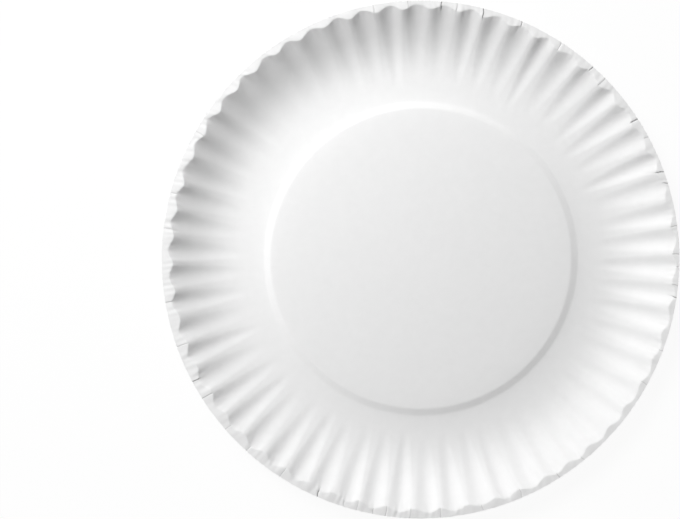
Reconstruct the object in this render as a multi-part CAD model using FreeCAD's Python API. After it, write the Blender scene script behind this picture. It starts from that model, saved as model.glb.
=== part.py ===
import FreeCAD, Part
import math
import os

# A round paper plate, pressed from one blank of board, in millimetres.
# It lies on its foot with the hollow side up. Z is its axis, and Z = 0 is the
# plane that it rests on.

# The board's thickness
board = 0.35

# Widths along the section, from the centre outwards: the flat centre, the
# pressed ring, the band that falls on to the foot, the foot, the fluted wall
# and the lip
centre_radius = 68.0
ring_width = 3.1
band_width = 4.4
foot_width = 2.0
wall_width = 33.85
lip_width = 2.95

# How far the section falls across the ring and the band, and how far the wall
# climbs from the foot to the lip
ring_fall = 1.0
band_fall = 0.3
wall_height = 13.15

# Flutes: how many, and how deep each channel is where it meets the lip.
# fade_power sets how slowly the channels grow along the wall, and spread_loss
# how much narrower than a whole flute they are at the foot.
flute_count = 58
flute_depth = 1.27
fade_power = 1.4
spread_loss = 0.65

# Flat facets across one flute, an odd number so that a valley has a flat
# bottom and a ridge is an edge, and straight steps along the wall's curve
facets_across = 7
steps_along = 5

# How late the channels lean over into the lip's plane
lean_power = 4.0

# Radii worked out from the widths, and the slope of the wall at the lip
ring_radius = centre_radius + ring_width
band_radius = ring_radius + band_width
foot_radius = band_radius + foot_width
plate_radius = foot_radius + wall_width + lip_width
lip_slope = math.atan(2 * wall_height / wall_width)
axis_point = FreeCAD.Vector(0, 0, 0)
axis_direction = FreeCAD.Vector(0, 0, 1)


def sunk(radius, height, before, after, sink):
    """A corner of the section, moved down by sink square to both of its sides.

    before and after are the slopes of the sides inside and outside the corner.
    sink is 0 on the upper skin and the board's thickness on the lower one.
    """
    reach = sink / (1 + math.cos(after - before))
    return (
        radius + reach * (math.sin(before) + math.sin(after)),
        height - reach * (math.cos(before) + math.cos(after)))


def middle_section(sink):
    """The section's corners inside the foot, from the centre's edge outwards."""
    corners = [
        (centre_radius, ring_fall + band_fall),
        (ring_radius, band_fall),
        (band_radius, 0)]
    slopes = [0]
    for inner, outer in zip(corners, corners[1:]):
        slopes.append(math.atan2(outer[1] - inner[1], outer[0] - inner[0]))
    slopes.append(0)
    return [
        sunk(radius, board + height, before, after, sink)
        for (radius, height), before, after in zip(corners, slopes, slopes[1:])]


def wall_section(share, sink):
    """Point and slope of the wall's section, share 0 at the foot and 1 at the lip.

    The wall leaves the foot level, and its tangent grows as 3 share^2 - 2 share^3,
    so its climb is wall_height times share^3 (2 - share).
    """
    climb = wall_height * share ** 3 * (2 - share)
    slope = math.atan(math.tan(lip_slope) * share ** 2 * (3 - 2 * share))
    after = 0 if share == 1 else slope
    radius, height = sunk(foot_radius + share * wall_width, board + climb, slope, after, sink)
    return radius, height, slope


def flute_line(share, sink):
    """One flute's cross-section, from one ridge over the channel to the next ridge.

    The channel is half a raised cosine wave wide, and the ridges between channels
    are flat near the foot. It moves the skin square to the wall, and leans over
    along it towards the lip, so that the last line lies in the lip's plane as its
    scallop.
    """
    radius, height, slope = wall_section(share, sink)
    depth = flute_depth * share ** fade_power
    spread = 1 - spread_loss * (1 - share) ** 2
    lean = share ** lean_power / math.tan(lip_slope)
    outward = math.sin(slope) + lean * math.cos(slope)
    upward = lean * math.sin(slope) - math.cos(slope)
    points = []
    for facet in range(facets_across + 1):
        turn = math.pi * (2 * facet / facets_across - 1)
        across = min(abs(turn) / spread, math.pi)
        sag = depth * (1 + math.cos(across) - spread) / 2
        angle = turn / flute_count
        distance = radius + sag * outward
        points.append(FreeCAD.Vector(
            distance * math.cos(angle), distance * math.sin(angle), height + sag * upward))
    return Part.makePolygon(points)


def turned_copies(shape):
    """The shape, and its copies round the plate's axis, one for each flute."""
    copies = []
    for index in range(flute_count):
        turn = FreeCAD.Matrix()
        turn.rotateZ(2 * math.pi * index / flute_count)
        copies.append(shape.transformed(turn, copy=True))
    return copies


def circle_wire(radius, height):
    """A level circle round the plate's axis."""
    centre = FreeCAD.Vector(0, 0, height)
    return Part.Wire([Part.makeCircle(radius, centre, axis_direction)])


def flat_face(outer, inner=None):
    """A level face inside the outer wire, with the inner one left open."""
    wires = [outer] if inner is None else [outer, inner]
    return Part.makeFace(wires, "Part::FaceMakerBullseye")


def turned_face(start, end):
    """The face that the line from start to end, each (radius, height), sweeps round."""
    line = Part.makeLine(
        FreeCAD.Vector(start[0], 0, start[1]), FreeCAD.Vector(end[0], 0, end[1]))
    return line.revolve(axis_point, axis_direction, 360)


def skin(sink):
    """All faces of one side of the plate: centre, ring, foot, fluted wall and lip."""
    middle = middle_section(sink)
    lines = [flute_line(step / steps_along, sink) for step in range(steps_along + 1)]
    flute = Part.makeLoft(lines, False, True)
    foot_rim = Part.Wire([edge for line in turned_copies(lines[0]) for edge in line.Edges])
    scallop = Part.Wire([edge for line in turned_copies(lines[-1]) for edge in line.Edges])
    lip_height = board + wall_height - sink
    faces = [
        flat_face(circle_wire(*middle[0])),
        flat_face(foot_rim, circle_wire(*middle[-1])),
        flat_face(circle_wire(plate_radius, lip_height), scallop)]
    for start, end in zip(middle, middle[1:]):
        faces.append(turned_face(start, end))
    for copy in turned_copies(flute):
        faces.extend(copy.Faces)
    return faces


def plate():
    """The plate as one closed solid: the upper skin, the lower one and the cut edge."""
    lip_top = board + wall_height
    edge = turned_face((plate_radius, lip_top - board), (plate_radius, lip_top))
    shell = Part.makeCompound(skin(0) + skin(board) + [edge])
    shell.sewShape(0.001)
    solid = Part.Solid(Part.Shell(shell.Faces))
    if solid.Volume < 0:
        solid.reverse()
    return solid


os.makedirs("parts", exist_ok=True)
model = plate()
model.exportStep("parts/plate.step")
print("valid", model.isValid(), "closed", model.isClosed(), "volume", round(model.Volume, 1))
print("box", model.BoundBox)
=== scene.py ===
import math

import bpy
import numpy as np
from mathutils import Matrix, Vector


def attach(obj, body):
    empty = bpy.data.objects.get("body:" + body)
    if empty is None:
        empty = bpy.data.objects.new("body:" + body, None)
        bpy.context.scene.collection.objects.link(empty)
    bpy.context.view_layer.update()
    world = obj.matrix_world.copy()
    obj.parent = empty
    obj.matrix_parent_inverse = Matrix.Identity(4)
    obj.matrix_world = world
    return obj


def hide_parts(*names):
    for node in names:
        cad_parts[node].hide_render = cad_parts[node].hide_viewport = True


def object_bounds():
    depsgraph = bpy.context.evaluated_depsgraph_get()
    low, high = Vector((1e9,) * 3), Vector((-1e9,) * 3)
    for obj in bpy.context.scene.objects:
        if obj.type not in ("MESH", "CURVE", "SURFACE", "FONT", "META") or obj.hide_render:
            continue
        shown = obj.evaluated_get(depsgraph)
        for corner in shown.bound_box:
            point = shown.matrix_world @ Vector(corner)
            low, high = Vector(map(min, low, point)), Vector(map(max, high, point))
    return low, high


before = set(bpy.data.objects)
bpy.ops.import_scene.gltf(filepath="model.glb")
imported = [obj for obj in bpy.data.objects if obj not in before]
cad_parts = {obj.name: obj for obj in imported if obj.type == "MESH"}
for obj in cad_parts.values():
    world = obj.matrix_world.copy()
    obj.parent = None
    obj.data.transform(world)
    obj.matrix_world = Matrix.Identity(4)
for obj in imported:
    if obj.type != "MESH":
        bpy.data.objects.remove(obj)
cad_low, cad_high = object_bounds()

# A round paper plate, pressed from one blank of white board. It lies on its
# foot with the hollow side up. Lengths are in metres and angles in radians,
# apart from values whose names end in degrees.
mm = 0.001
turn_round = 2 * math.pi

# The board, and the radii where the section changes: where the centre's edge
# starts to fall, both sides of the pressed ring, the lowest line of the foot,
# where the wall's curve starts, and where it meets the lip
board = 0.35 * mm
edge_start = 54.0 * mm
centre_radius = 67.6 * mm
ring_radius = 70.65 * mm
foot_radius = 78.4 * mm
wall_start = 77.8 * mm
wall_radius = 111.45 * mm
wall_width = wall_radius - wall_start

# The rim's circle and the top of the lip are the solid's. The lip is what is left
# between the wall and the rim.
rim_radius = min(-cad_low.x, cad_high.x, -cad_low.y, cad_high.y)
rim_height = cad_high.z
lip_width = rim_radius - wall_radius

# Heights: how far the section falls over the centre's edge, the ring and the
# band outside it, and how far the wall and the lip climb
edge_fall = 0.25 * mm
ring_fall = 1.0 * mm
band_fall = 0.43 * mm
lip_climb = 0.3 * mm
wall_height = rim_height - lip_climb - board

# Slope of the wall where it meets the lip
lip_slope = math.atan(2 * wall_height / wall_width)

# How far the rounding reaches to each side of a pressed corner
ring_rounding = 0.7 * mm
shoulder_rounding = 0.38 * mm
edge_rounding = 0.03 * mm

# The flutes are channels. They grow deeper along the wall by fade_power, and lean
# over into the lip's plane by lean_power. At the lip they take full_spread of
# their share of the circle, and at the foot less by spread_loss.
flute_count = 58
flute_depth = 1.2 * mm
fade_power = 1.38
lean_power = 4.0
full_spread = 0.96
spread_loss = 0.47

# The press went deeper on one side, and the lip's scallops came out wider on
# another, by these shares, at these angles as the camera sees them
deep_side = 0.3
deep_side_degrees = -40.0
wide_side = 0.4
wide_side_degrees = 138.0

# How uneven the flutes are, as shares of their width, their depth and fade_power
flute_sway = 0.02
depth_scatter = 0.08
fade_scatter = 0.1

# How far the lip's inner line scatters and wanders, and how much wider the lip is
# at one spot, whose angle is as the camera sees it. The spot is narrow by
# spot_power. All this sets in on the wall's last part, from scallop_start.
scallop_scatter = 0.07 * mm
lip_wander = 0.19 * mm
wide_spot = 0.75 * mm
wide_spot_degrees = 44.0
spot_power = 14
scallop_start = 0.75

# Dents near the lip: their depth, how far beyond the wall their middle lies, and how
# far they reach to each side of it. Then the lip's ripple, full at ripple_reach.
dent_depth = 0.05 * mm
dent_middle = 0.3 * mm
dent_reach = 2.6 * mm
lip_ripple = 0.05 * mm
ripple_reach = 2.0 * mm

# The share of the dents, the ripple and the creases that shows on the lower skin
share_below = 0.75

# The blank lay a little off centre in the press, so the lip's width varies. The
# angle is as the camera sees it.
press_shift = 0.92 * mm
press_shift_degrees = 27.0

# The view. The plate shows turned by this much, and the rim's centre and its
# radius are given in pixels of the 680 by 519 frame. The camera stands over the
# middle of the frame.
view_turn_degrees = 4.28
frame_width_px = 680
plate_centre_px = 420.55
rim_radius_px = 258.82
camera_distance = 634 * mm
sensor_width = 36.0

# Where the lip is creased, in degrees as the camera sees them, anticlockwise
# from the right
deep_creases = (17.1, 19.8, 32.9, 48.1, 66.8, 75.9, 85.3, 208.2, 246.5, 351.5)
deep_leans = (-15, -15, -6, -7, 4, 11, 2, -4, 6, -8)
fine_creases = (
    1.2, 7.5, 28.3, 44.4, 57.0, 81.8, 92.9, 100.6, 150.3, 165.0, 173.0, 189.6, 199.8, 212.5,
    221.0, 227.7, 237.0, 252.7, 255.6, 259.3, 262.2, 267.6, 274.5, 284.1, 293.1, 302.6,
    309.3, 331.0, 339.3, 354.2, 358.5)

# The creases' grooves and the steps across them, how wide both are, how far a step
# takes to level out, and how far to each side the lip follows a crease's lean. Then
# the grid's columns at each crease, with the room that is kept clear of other columns.
deep_groove = 0.22 * mm
fine_groove = 0.1 * mm
deep_step = 0.2 * mm
fine_step = 0.08 * mm
crease_half_width = 0.19 * mm
crease_spread = 2.5 * mm
lean_reach = 1.8 * mm
crease_columns = np.array([-0.55, -0.28, -0.12, 0.0, 0.12, 0.28, 0.55]) * mm
crease_room = 0.75 * mm
columns_per_flute = 20

# Rows of the grid along the wall, which lie closer together towards the lip
wall_rows = 22
row_power = 1.25

# How much of the floor's look is plain white, the even light from all round, and
# the angle that both lamps stand at as the camera sees them
floor_whiteness = 0.95
surround_light = 0.03
lamp_degrees = 132.0


def smooth_step(value):
    """0 below 0 and 1 above 1, and between them 3 v squared less 2 v cubed."""
    held = np.clip(value, 0, 1)
    return held * held * (3 - 2 * held)


def on_plate(degrees):
    """The angle on the plate, in radians, of one in degrees as the camera sees it."""
    return math.radians(degrees - view_turn_degrees)


def wrapped(angle):
    """The same angle between minus and plus half a turn."""
    return (angle + math.pi) % turn_round - math.pi


def uneven(angle, slowest, fastest, seed):
    """A smooth chance ripple round the plate, of about unit size.

    It is the sum of one cosine for each whole number of waves from slowest to
    fastest, each with a chance height and phase, over the root of half their number.
    """
    chance = np.random.default_rng(seed)
    waves = np.arange(slowest, fastest + 1)
    heights = chance.normal(size=waves.size)
    phases = chance.uniform(0, turn_round, waves.size)
    total = sum(h * np.cos(w * angle + p) for h, w, p in zip(heights, waves, phases))
    return total / math.sqrt(waves.size / 2)


def dents(angle, beyond, seed):
    """Chance dents of about unit size on the skin near the lip.

    They are the sum of forty plane waves, each with a whole number of waves round
    the plate and a chance number of turns per metre of the section.
    """
    chance = np.random.default_rng(seed)
    count = 40
    round_waves = chance.integers(70, 330, count)
    along_waves = chance.normal(0, 1 / (3.5 * mm), count)
    phases = chance.uniform(0, turn_round, count)
    total = np.zeros(np.broadcast(angle, beyond).shape)
    for waves, along, phase in zip(round_waves, along_waves, phases):
        total += np.cos(waves * angle + along * beyond + phase)
    return total / math.sqrt(count / 2)


def rounded_corner(before, corner, after, count):
    """Points round a corner of the section, each the pair radius and height.

    At t from 0 to 1 the point is (1-t)^2 before + 2t(1-t) corner + t^2 after, which
    leaves and arrives along the lines to the corner.
    """
    t = np.linspace(0, 1, count).reshape(-1, *[1] * before.ndim)
    return (1 - t) ** 2 * before + 2 * t * (1 - t) * corner + t ** 2 * after


class Creases:
    """The small folds in which the lip gathers the board's spare length.

    A deep crease's higher side is the one towards the lamps, so that its drop faces away
    from them and shows dark. A fine crease's is a chance side. Each crease also carries
    a painted shade down its groove, stronger on the deep ones.
    """

    def __init__(self):
        chance = np.random.default_rng(12)
        degrees = np.array(deep_creases + fine_creases) - view_turn_degrees
        count = degrees.size
        deep = np.arange(count) < len(deep_creases)
        self.angles = np.radians(degrees) % turn_round
        self.depths = np.where(deep, deep_groove, fine_groove) * chance.uniform(0.8, 1.25, count)
        lamp_side = np.sign(np.cos(self.angles - on_plate(lamp_degrees - 90)))
        chance_side = chance.choice([-1, 1], count)
        self.steps = np.where(deep, deep_step * lamp_side, fine_step * chance_side)
        # Strength of each crease's painted shade: full on deep creases, 0.4 on fine ones, times a
        # chance share
        self.shades = np.where(deep, 1.0, 0.4) * chance.uniform(0.7, 1.0, count)
        self.reaches = np.where(deep, chance.uniform(0.6, 2.4, count), 0.5) * mm
        fine_leans = chance.uniform(-8, 8, len(fine_creases))
        self.leans = np.tan(np.radians(np.concatenate([deep_leans, fine_leans])))

    def offsets(self, angles):
        """How far each column lies from each crease, as lengths along the rim."""
        return wrapped(angles[:, None] - self.angles[None, :]) * rim_radius

    def columns(self):
        """Angles of the grid's columns: evenly spread, and gathered at the creases."""
        even = np.linspace(0, turn_round, flute_count * columns_per_flute, endpoint=False)
        apart = np.abs(self.offsets(even)).min(axis=1)
        gathered = self.angles[:, None] + crease_columns[None, :] / rim_radius
        columns = np.concatenate([even[apart > crease_room], gathered.ravel() % turn_round])
        return np.sort(columns)

    def lean(self, angles, beyond):
        """The turn of each grid point, so that the columns at a crease follow its lean.

        It is the crease's lean times the way from the rim, less what the press shift
        moves the lip's inner line sideways, faded as a bell curve of the distance from
        the crease.
        """
        bell = np.exp(-(self.offsets(angles) / lean_reach) ** 2)
        way = np.clip(beyond - lip_width, -1.5 * lip_width, 0)
        sideways = press_shift * np.sin(on_plate(press_shift_degrees) - angles) * bell.sum(axis=1)
        pressed = smooth_step(-way / lip_width)
        moved = way[:, None] * (bell @ self.leans)[None, :] - pressed[:, None] * sideways[None, :]
        return moved / rim_radius

    def relief(self, angles, beyond):
        """The folds' height on each grid point, and the painted shade along their bottoms.

        Across a crease the height is a bell-shaped groove, plus a step that levels out
        on both sides by crease_spread. Along it, both rise from nothing on the wall to
        the full height at the lip's inner line.
        """
        offsets = self.offsets(angles)
        groove = np.exp(-(offsets / crease_half_width) ** 2)
        step = np.tanh(offsets / crease_half_width) * np.exp(-np.abs(offsets) / crease_spread)
        shape = step * self.steps / 2 - groove * self.depths
        grown = smooth_step(1 + beyond[:, None] / self.reaches[None, :])
        height = grown @ shape.T
        # Painted shade: the groove's bell times each crease's strength, grown in like the height,
        # darkens the paper where the crease would lie in shadow
        shade = grown @ (groove * self.shades).T
        return height, shade


creases = Creases()


def middle_section():
    """Radius and height of the upper skin from near the centre to the foot.

    The centre's edge falls as the square of the way from edge_start, the ring is
    straight, and the band's height over the foot is the square of the way to it.
    """
    inner_corner = np.array([centre_radius, board + band_fall + ring_fall])
    outer_corner = np.array([ring_radius, board + band_fall])
    edge_slope = 2 * edge_fall / (centre_radius - edge_start)
    band_slope = 2 * band_fall / (foot_radius - ring_radius)
    before = np.array([1, -edge_slope]) * ring_rounding
    between = (outer_corner - inner_corner) / (ring_radius - centre_radius) * ring_rounding
    after = np.array([1, -band_slope]) * ring_rounding
    inner_bend = rounded_corner(
        inner_corner - before, inner_corner, inner_corner + between, 5)
    outer_bend = rounded_corner(
        outer_corner - between, outer_corner, outer_corner + after, 5)

    edge_radii = np.linspace(edge_start, centre_radius - ring_rounding, 5)[:-1]
    radii = np.concatenate([[6 * mm], edge_radii])
    way = np.clip((radii - edge_start) / (centre_radius - edge_start), 0, 1)
    centre = np.stack([radii, inner_corner[1] + edge_fall * (1 - way ** 2)], axis=1)
    band_radii = np.linspace(ring_radius + ring_rounding, foot_radius, 5)[1:-1]
    way = (foot_radius - band_radii) / (foot_radius - ring_radius)
    band = np.stack([band_radii, board + band_fall * way ** 2], axis=1)
    return np.concatenate([centre, inner_bend, outer_bend, band])


def scallop_moves(angle, sag):
    """How far the scallops' unevenness moves the lip's inner line outwards.

    It is the channels' own wave in that line times wide_side and the cosine of the
    angle from the wide side, plus lip_wander times cos 3s less sin 2s, where s is the
    angle as the camera sees it, plus a chance scatter, less wide_spot times the cosine
    of the angle from the spot to the power spot_power.
    """
    seen = angle + math.radians(view_turn_degrees)
    wide_share = wide_side * np.cos(angle - on_plate(wide_side_degrees))
    widened = wide_share * sag / math.sin(lip_slope)
    spot = np.maximum(np.cos(seen - math.radians(wide_spot_degrees)), 0) ** spot_power
    wander = lip_wander * (np.cos(3 * seen) - np.sin(2 * seen)) - wide_spot * spot
    return widened + wander + scallop_scatter * uneven(angle, 30, 110, 6)


def fluted_wall(share, angle):
    """Radius and height of the wall's upper skin, share 0 at the foot and 1 at the lip.

    The section climbs by share^3 (2 - share) of the wall's height, level at the foot
    and straight at the lip. Across a flute the channel's depth is (1 - a^2)^2, with a
    from 0 at its bottom to 1 at its sides, and the ridges beside it are level. The
    mean over the flute is taken off. The depth goes up and down with the cosine of the
    angle from the deep side, and by chance. The wave moves the skin square to the wall,
    and leans over along it towards the lip, so that the last wave lies in the lip's
    plane as its scallop, where the scallops' own unevenness sets in.
    """
    climb = wall_height * share ** 3 * (2 - share)
    slope = np.arctan(math.tan(lip_slope) * share ** 2 * (3 - 2 * share))
    power = fade_power * (1 + fade_scatter * uneven(angle, 9, 40, 3))
    deeper = deep_side * np.cos(angle - on_plate(deep_side_degrees))
    depth = flute_depth * share ** power * (
        1 + depth_scatter * uneven(angle, 5, 45, 4) + deeper)
    spread = full_spread - spread_loss * (1 - share) ** 2
    turn = wrapped(angle * flute_count + turn_round * flute_sway * uneven(angle, 9, 40, 5))
    across = np.minimum(np.abs(turn) / (math.pi * spread), 1)
    sag = depth * ((1 - across ** 2) ** 2 - spread * 8 / 15)
    lean = share ** lean_power / math.tan(lip_slope)
    set_in = smooth_step((share - scallop_start) / (1 - scallop_start))
    radius = (wall_start + share * wall_width + scallop_moves(angle, sag) * set_in
              + sag * (np.sin(slope) + lean * np.cos(slope)))
    height = board + climb + sag * (lean * np.sin(slope) - np.cos(slope))
    return np.stack([radius, height], axis=-1)


def upper_skin(columns):
    """The upper skin as a grid of points, with each row's place beyond the lip's line.

    Rows run from near the centre to the rim, and columns round the plate. beyond is
    the length along the section from the line where the wall meets the lip. The press
    shift moves all inside the lip as one, and fades over the lip to nothing at the rim.
    """
    middle = middle_section()
    wall_length = wall_width / math.cos(lip_slope)
    first_share = (foot_radius - wall_start) / wall_width
    last_share = 1 - shoulder_rounding / wall_length
    way = 1 - (1 - np.linspace(0, 1, wall_rows)) ** row_power
    shares = first_share + (last_share - first_share) * way
    lip_start = shoulder_rounding / lip_width
    lip_shares = np.linspace(lip_start, 1, 5)[1:]

    shoulder_rows = 5
    middle_beyond = middle[:, 0] - wall_radius
    wall_beyond = (shares - 1) * wall_length
    shoulder_beyond = np.linspace(-shoulder_rounding, shoulder_rounding, shoulder_rows)
    beyond = np.concatenate([
        middle_beyond, wall_beyond[:-1], shoulder_beyond, lip_shares * lip_width])
    angle = columns[None, :] + creases.lean(columns, beyond)

    rows = len(middle)
    flat = np.broadcast_to(middle[:, None, :], (rows, columns.size, 2))
    wall = fluted_wall(shares[:-1, None], angle[rows:rows + shares.size - 1])
    rows += shares.size - 1
    at_shoulder = angle[rows:rows + shoulder_rows]
    wall_end = fluted_wall(np.array([[last_share]]), at_shoulder[:1])[0]
    lip_line = fluted_wall(np.array([[1.0]]), at_shoulder[2:3])[0]
    rows += shoulder_rows
    rim = np.array([rim_radius - edge_rounding, rim_height - lip_ripple])
    outwards = (rim - lip_line) / (rim_radius - lip_line[:, :1])
    lip_first = lip_line + shoulder_rounding * outwards
    shoulder = rounded_corner(wall_end, lip_line, lip_first, shoulder_rows)
    share = ((lip_shares - lip_start) / (1 - lip_start))[:, None, None]
    lip = lip_first + share * (rim - lip_first)

    section = np.concatenate([flat, wall, shoulder, lip])
    shift = press_shift * smooth_step((rim_radius - section[..., 0]) / lip_width)
    shift_angle = on_plate(press_shift_degrees)
    return np.stack([
        section[..., 0] * np.cos(angle) + shift * math.cos(shift_angle),
        section[..., 0] * np.sin(angle) + shift * math.sin(shift_angle),
        section[..., 1]], axis=-1), beyond


def outward_normals(points):
    """Unit normals of a grid of points, from the way to the next row and next column."""
    along = np.gradient(points, axis=0)
    across = np.roll(points, -1, axis=1) - np.roll(points, 1, axis=1)
    normals = np.cross(along, across)
    return normals / np.linalg.norm(normals, axis=-1, keepdims=True)


def plate_grid():
    """All rows of the plate's closed skin: over the top, round the cut edge and back below.

    The lower skin lies one board below the upper one, square to it, with every third
    row. Dents, the lip's ripple and the creases move both skins along the same normals.
    """
    columns = creases.columns()
    upper, beyond = upper_skin(columns)
    normals = outward_normals(upper)
    folds, shade = creases.relief(columns, beyond)
    near_lip = np.exp(-((beyond - dent_middle) / dent_reach) ** 2)[:, None]
    on_lip = smooth_step(beyond / ripple_reach)[:, None]
    moved = folds + dent_depth * near_lip * dents(columns[None, :], beyond[:, None], 7)
    moved += lip_ripple * on_lip * uneven(columns, 20, 90, 8)[None, :]
    top = upper + moved[..., None] * normals
    top[..., 2] = np.minimum(top[..., 2], rim_height)
    below = upper + (share_below * moved - board)[..., None] * normals
    below[-1, :, :2] = upper[-1, :, :2]
    below[..., 2] = np.maximum(below[..., 2], 0)

    outwards = upper[-1, :, :2] / np.linalg.norm(upper[-1, :, :2], axis=-1, keepdims=True)
    edge_high = top[-1].copy()
    edge_high[:, :2] += edge_rounding * outwards
    edge_high[:, 2] -= edge_rounding
    edge_low = below[-1].copy()
    edge_low[:, :2] += edge_rounding * outwards
    edge_low[:, 2] += edge_rounding
    kept_below = np.unique(np.append(np.arange(0, len(upper), 3), len(upper) - 1))
    grid = np.concatenate([top, [edge_high, edge_low], below[kept_below][::-1]])
    # The painted crease shade follows the rows: full on the upper skin and the cut edge, half on
    # the lower skin
    shades = np.concatenate([shade, shade[[-1, -1]], 0.5 * shade[kept_below][::-1]])
    return grid, shades, len(top)


def closed_mesh(name, grid, shades, top_rows):
    """A mesh of the grid's quads, closed round the plate and by a fan at each centre."""
    rows, columns = grid.shape[:2]
    index = np.arange(rows * columns).reshape(rows, columns)
    following = np.roll(index, -1, axis=1)
    quads = np.stack([index[:-1], index[1:], following[1:], following[:-1]], axis=-1)
    top_pole = rows * columns
    low_pole = top_pole + 1
    top_fan = np.stack([np.full(columns, top_pole), index[0], following[0]], axis=-1)
    low_fan = np.stack([np.full(columns, low_pole), following[-1], index[-1]], axis=-1)
    poles = np.stack([grid[0].mean(axis=0), grid[-1].mean(axis=0)])
    points = np.concatenate([grid.reshape(-1, 3), poles])
    faces = quads.reshape(-1, 4).tolist() + top_fan.tolist() + low_fan.tolist()
    mesh = bpy.data.meshes.new(name)
    mesh.from_pydata(points.tolist(), [], faces)
    mesh.polygons.foreach_set("use_smooth", np.ones(len(mesh.polygons), bool))

    ends = np.empty(len(mesh.edges) * 2, np.int32)
    mesh.edges.foreach_get("vertices", ends)
    end_rows = ends.reshape(-1, 2) // columns
    rim_rows = (top_rows - 1, top_rows, top_rows + 1, top_rows + 2)
    sharp = (end_rows[:, 0] == end_rows[:, 1]) & np.isin(end_rows[:, 0], rim_rows)
    mesh.attributes.new("sharp_edge", "BOOLEAN", "EDGE").data.foreach_set("value", sharp)
    # A point attribute carries the painted crease shade to the material; the two poles get none
    fold = mesh.attributes.new("fold", "FLOAT", "POINT")
    values = np.concatenate([shades.ravel(), [0.0, 0.0]])
    fold.data.foreach_set("value", values.astype(np.float32))
    mesh.update()
    return mesh


def new_node(tree, kind, **settings):
    """A new node of that kind, with its plain settings and its sockets' fixed values."""
    node = tree.nodes.new(kind)
    for name, value in settings.items():
        if name in node.bl_rna.properties:
            setattr(node, name, value)
        else:
            node.inputs[name.replace("_", " ")].default_value = value
    return node


def white_board():
    """Uncoated white board: a faint cloudy mottle, a fine tooth, and painted shade that darkens
    the colour along the creases.
    """
    material = bpy.data.materials.new("white_board")
    material.use_nodes = True
    tree = material.node_tree
    shader = tree.nodes["Principled BSDF"]
    shader.inputs["Roughness"].default_value = 0.86
    shader.inputs["Specular IOR Level"].default_value = 0.3
    place = new_node(tree, "ShaderNodeTexCoord").outputs["Object"]

    clouds = new_node(tree, "ShaderNodeTexNoise", Scale=260.0, Detail=5.0, Roughness=0.6)
    tree.links.new(place, clouds.inputs["Vector"])
    paper = new_node(tree, "ShaderNodeMapRange")
    tree.links.new(clouds.outputs["Fac"], paper.inputs["Value"])
    paper.inputs["From Min"].default_value = 0.3
    paper.inputs["From Max"].default_value = 0.7
    paper.inputs["To Min"].default_value = 0.835
    paper.inputs["To Max"].default_value = 0.853

    # Painted shade: the crease attribute darkens the paper's colour, down to a quarter at a
    # full-strength groove, where the crease would lie in shadow
    fold = new_node(tree, "ShaderNodeAttribute", attribute_name="fold")
    painted_shade_factor = new_node(tree, "ShaderNodeMapRange")
    tree.links.new(fold.outputs["Fac"], painted_shade_factor.inputs["Value"])
    painted_shade_factor.inputs["To Min"].default_value = 1.0
    painted_shade_factor.inputs["To Max"].default_value = 0.25
    tone = new_node(tree, "ShaderNodeMath", operation="MULTIPLY")
    tree.links.new(paper.outputs["Result"], tone.inputs[0])
    tree.links.new(painted_shade_factor.outputs["Result"], tone.inputs[1])
    tree.links.new(tone.outputs["Value"], shader.inputs["Base Color"])

    tooth = new_node(tree, "ShaderNodeTexNoise", Scale=2600.0, Detail=4.0, Roughness=0.65)
    tree.links.new(place, tooth.inputs["Vector"])
    bump = new_node(tree, "ShaderNodeBump", Strength=0.35, Distance=0.00003)
    tree.links.new(tooth.outputs["Fac"], bump.inputs["Height"])
    tree.links.new(bump.outputs["Normal"], shader.inputs["Normal"])
    return material


def pressed_plate():
    """The whole plate as one closed piece, in place of the solid."""
    grid, shades, top_rows = plate_grid()
    mesh = closed_mesh("pressed_plate", grid, shades, top_rows)
    mesh.materials.append(white_board())
    piece = bpy.data.objects.new("pressed_plate", mesh)
    bpy.context.scene.collection.objects.link(piece)
    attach(piece, "root")
    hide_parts("plate")
    return piece


def seen_directly(tree):
    """1 for rays from the camera, a mirror or a glass, and 0 for the rays that light things."""
    path = new_node(tree, "ShaderNodeLightPath")
    either = new_node(tree, "ShaderNodeMath", operation="MAXIMUM")
    tree.links.new(path.outputs["Is Camera Ray"], either.inputs[0])
    tree.links.new(path.outputs["Is Glossy Ray"], either.inputs[1])
    any_of_them = new_node(tree, "ShaderNodeMath", operation="MAXIMUM")
    tree.links.new(either.outputs["Value"], any_of_them.inputs[0])
    tree.links.new(path.outputs["Is Transmission Ray"], any_of_them.inputs[1])
    return any_of_them.outputs["Value"]


def white_floor():
    """A wide white floor that shows nearly white, and keeps a faint shadow of the plate."""
    half = 3.0
    low = -0.05 * mm
    corners = [(-half, -half, low), (half, -half, low), (half, half, low), (-half, half, low)]
    mesh = bpy.data.meshes.new("floor")
    mesh.from_pydata(corners, [], [(0, 1, 2, 3)])
    material = bpy.data.materials.new("white_floor")
    material.use_nodes = True
    tree = material.node_tree
    matt = tree.nodes["Principled BSDF"]
    matt.inputs["Base Color"].default_value = (0.9, 0.9, 0.9, 1)
    matt.inputs["Roughness"].default_value = 0.9
    glow = new_node(tree, "ShaderNodeEmission", Strength=1.0)
    share = new_node(tree, "ShaderNodeMath", operation="MULTIPLY")
    tree.links.new(seen_directly(tree), share.inputs[0])
    share.inputs[1].default_value = floor_whiteness
    blend = new_node(tree, "ShaderNodeMixShader")
    tree.links.new(share.outputs["Value"], blend.inputs["Fac"])
    tree.links.new(matt.outputs["BSDF"], blend.inputs[1])
    tree.links.new(glow.outputs["Emission"], blend.inputs[2])
    tree.links.new(blend.outputs["Shader"], tree.nodes["Material Output"].inputs["Surface"])
    mesh.materials.append(material)
    floor = bpy.data.objects.new("floor", mesh)
    bpy.context.scene.collection.objects.link(floor)


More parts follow.
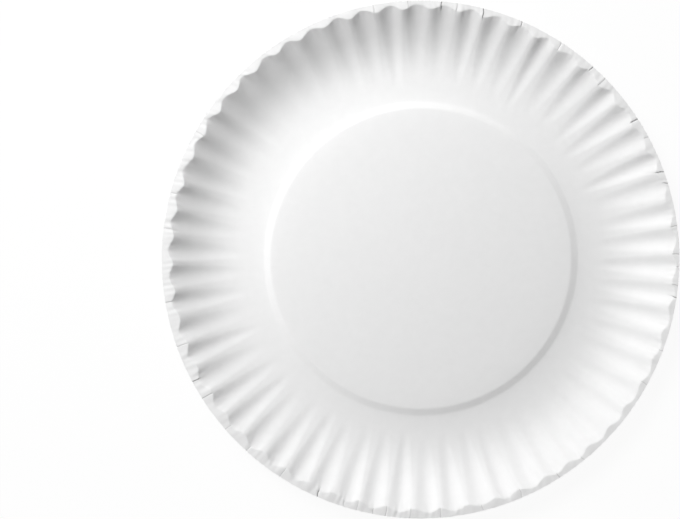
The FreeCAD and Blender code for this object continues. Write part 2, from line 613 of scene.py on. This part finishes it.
def soft_surroundings():
    """Even white light from all round, behind which the camera sees plain white."""
    world = bpy.data.worlds.new("soft_surroundings")
    world.use_nodes = True
    tree = world.node_tree
    light = tree.nodes["Background"]
    light.inputs["Strength"].default_value = surround_light
    light.inputs["Color"].default_value = (1, 1, 1, 1)
    white = new_node(tree, "ShaderNodeBackground", Strength=1.0)
    white.inputs["Color"].default_value = (1, 1, 1, 1)
    blend = new_node(tree, "ShaderNodeMixShader")
    tree.links.new(seen_directly(tree), blend.inputs["Fac"])
    tree.links.new(light.outputs["Background"], blend.inputs[1])
    tree.links.new(white.outputs["Background"], blend.inputs[2])
    tree.links.new(blend.outputs["Shader"], tree.nodes["World Output"].inputs["Surface"])
    bpy.context.scene.world = world


def soft_lamp(name, height_degrees, distance, size, watts):
    """A square lamp at that height angle and distance, aimed at the plate's centre."""
    angle = math.radians(lamp_degrees - view_turn_degrees)
    height = math.radians(height_degrees)
    data = bpy.data.lights.new(name, "AREA")
    data.shape = "SQUARE"
    data.size = size
    data.energy = watts
    lamp = bpy.data.objects.new(name, data)
    lamp.location = (
        distance * math.cos(height) * math.cos(angle),
        distance * math.cos(height) * math.sin(angle),
        distance * math.sin(height))
    lamp.rotation_euler = (0, math.pi / 2 - height, angle)
    lamp.visible_camera = False
    bpy.context.scene.collection.objects.link(lamp)


def camera_above():
    """A camera that looks straight down, turned so that the flutes lie as photographed."""
    data = bpy.data.cameras.new("camera")
    data.sensor_width = sensor_width
    pixels_per_metre = rim_radius_px / rim_radius
    data.lens = pixels_per_metre * camera_distance * sensor_width / frame_width_px
    camera = bpy.data.objects.new("camera", data)
    aside = (frame_width_px / 2 - plate_centre_px) / pixels_per_metre
    turn = -math.radians(view_turn_degrees)
    camera.location = (
        aside * math.cos(turn), aside * math.sin(turn), rim_height + camera_distance)
    camera.rotation_euler = (0, 0, turn)
    bpy.context.scene.collection.objects.link(camera)
    bpy.context.scene.camera = camera


pressed_plate()
white_floor()
soft_surroundings()
soft_lamp("close_lamp", height_degrees=46.0, distance=0.45, size=0.2, watts=1.0)
soft_lamp("far_lamp", height_degrees=50.0, distance=2.5, size=0.8, watts=46.0)
camera_above()
bpy.context.scene.view_settings.view_transform = "Standard"
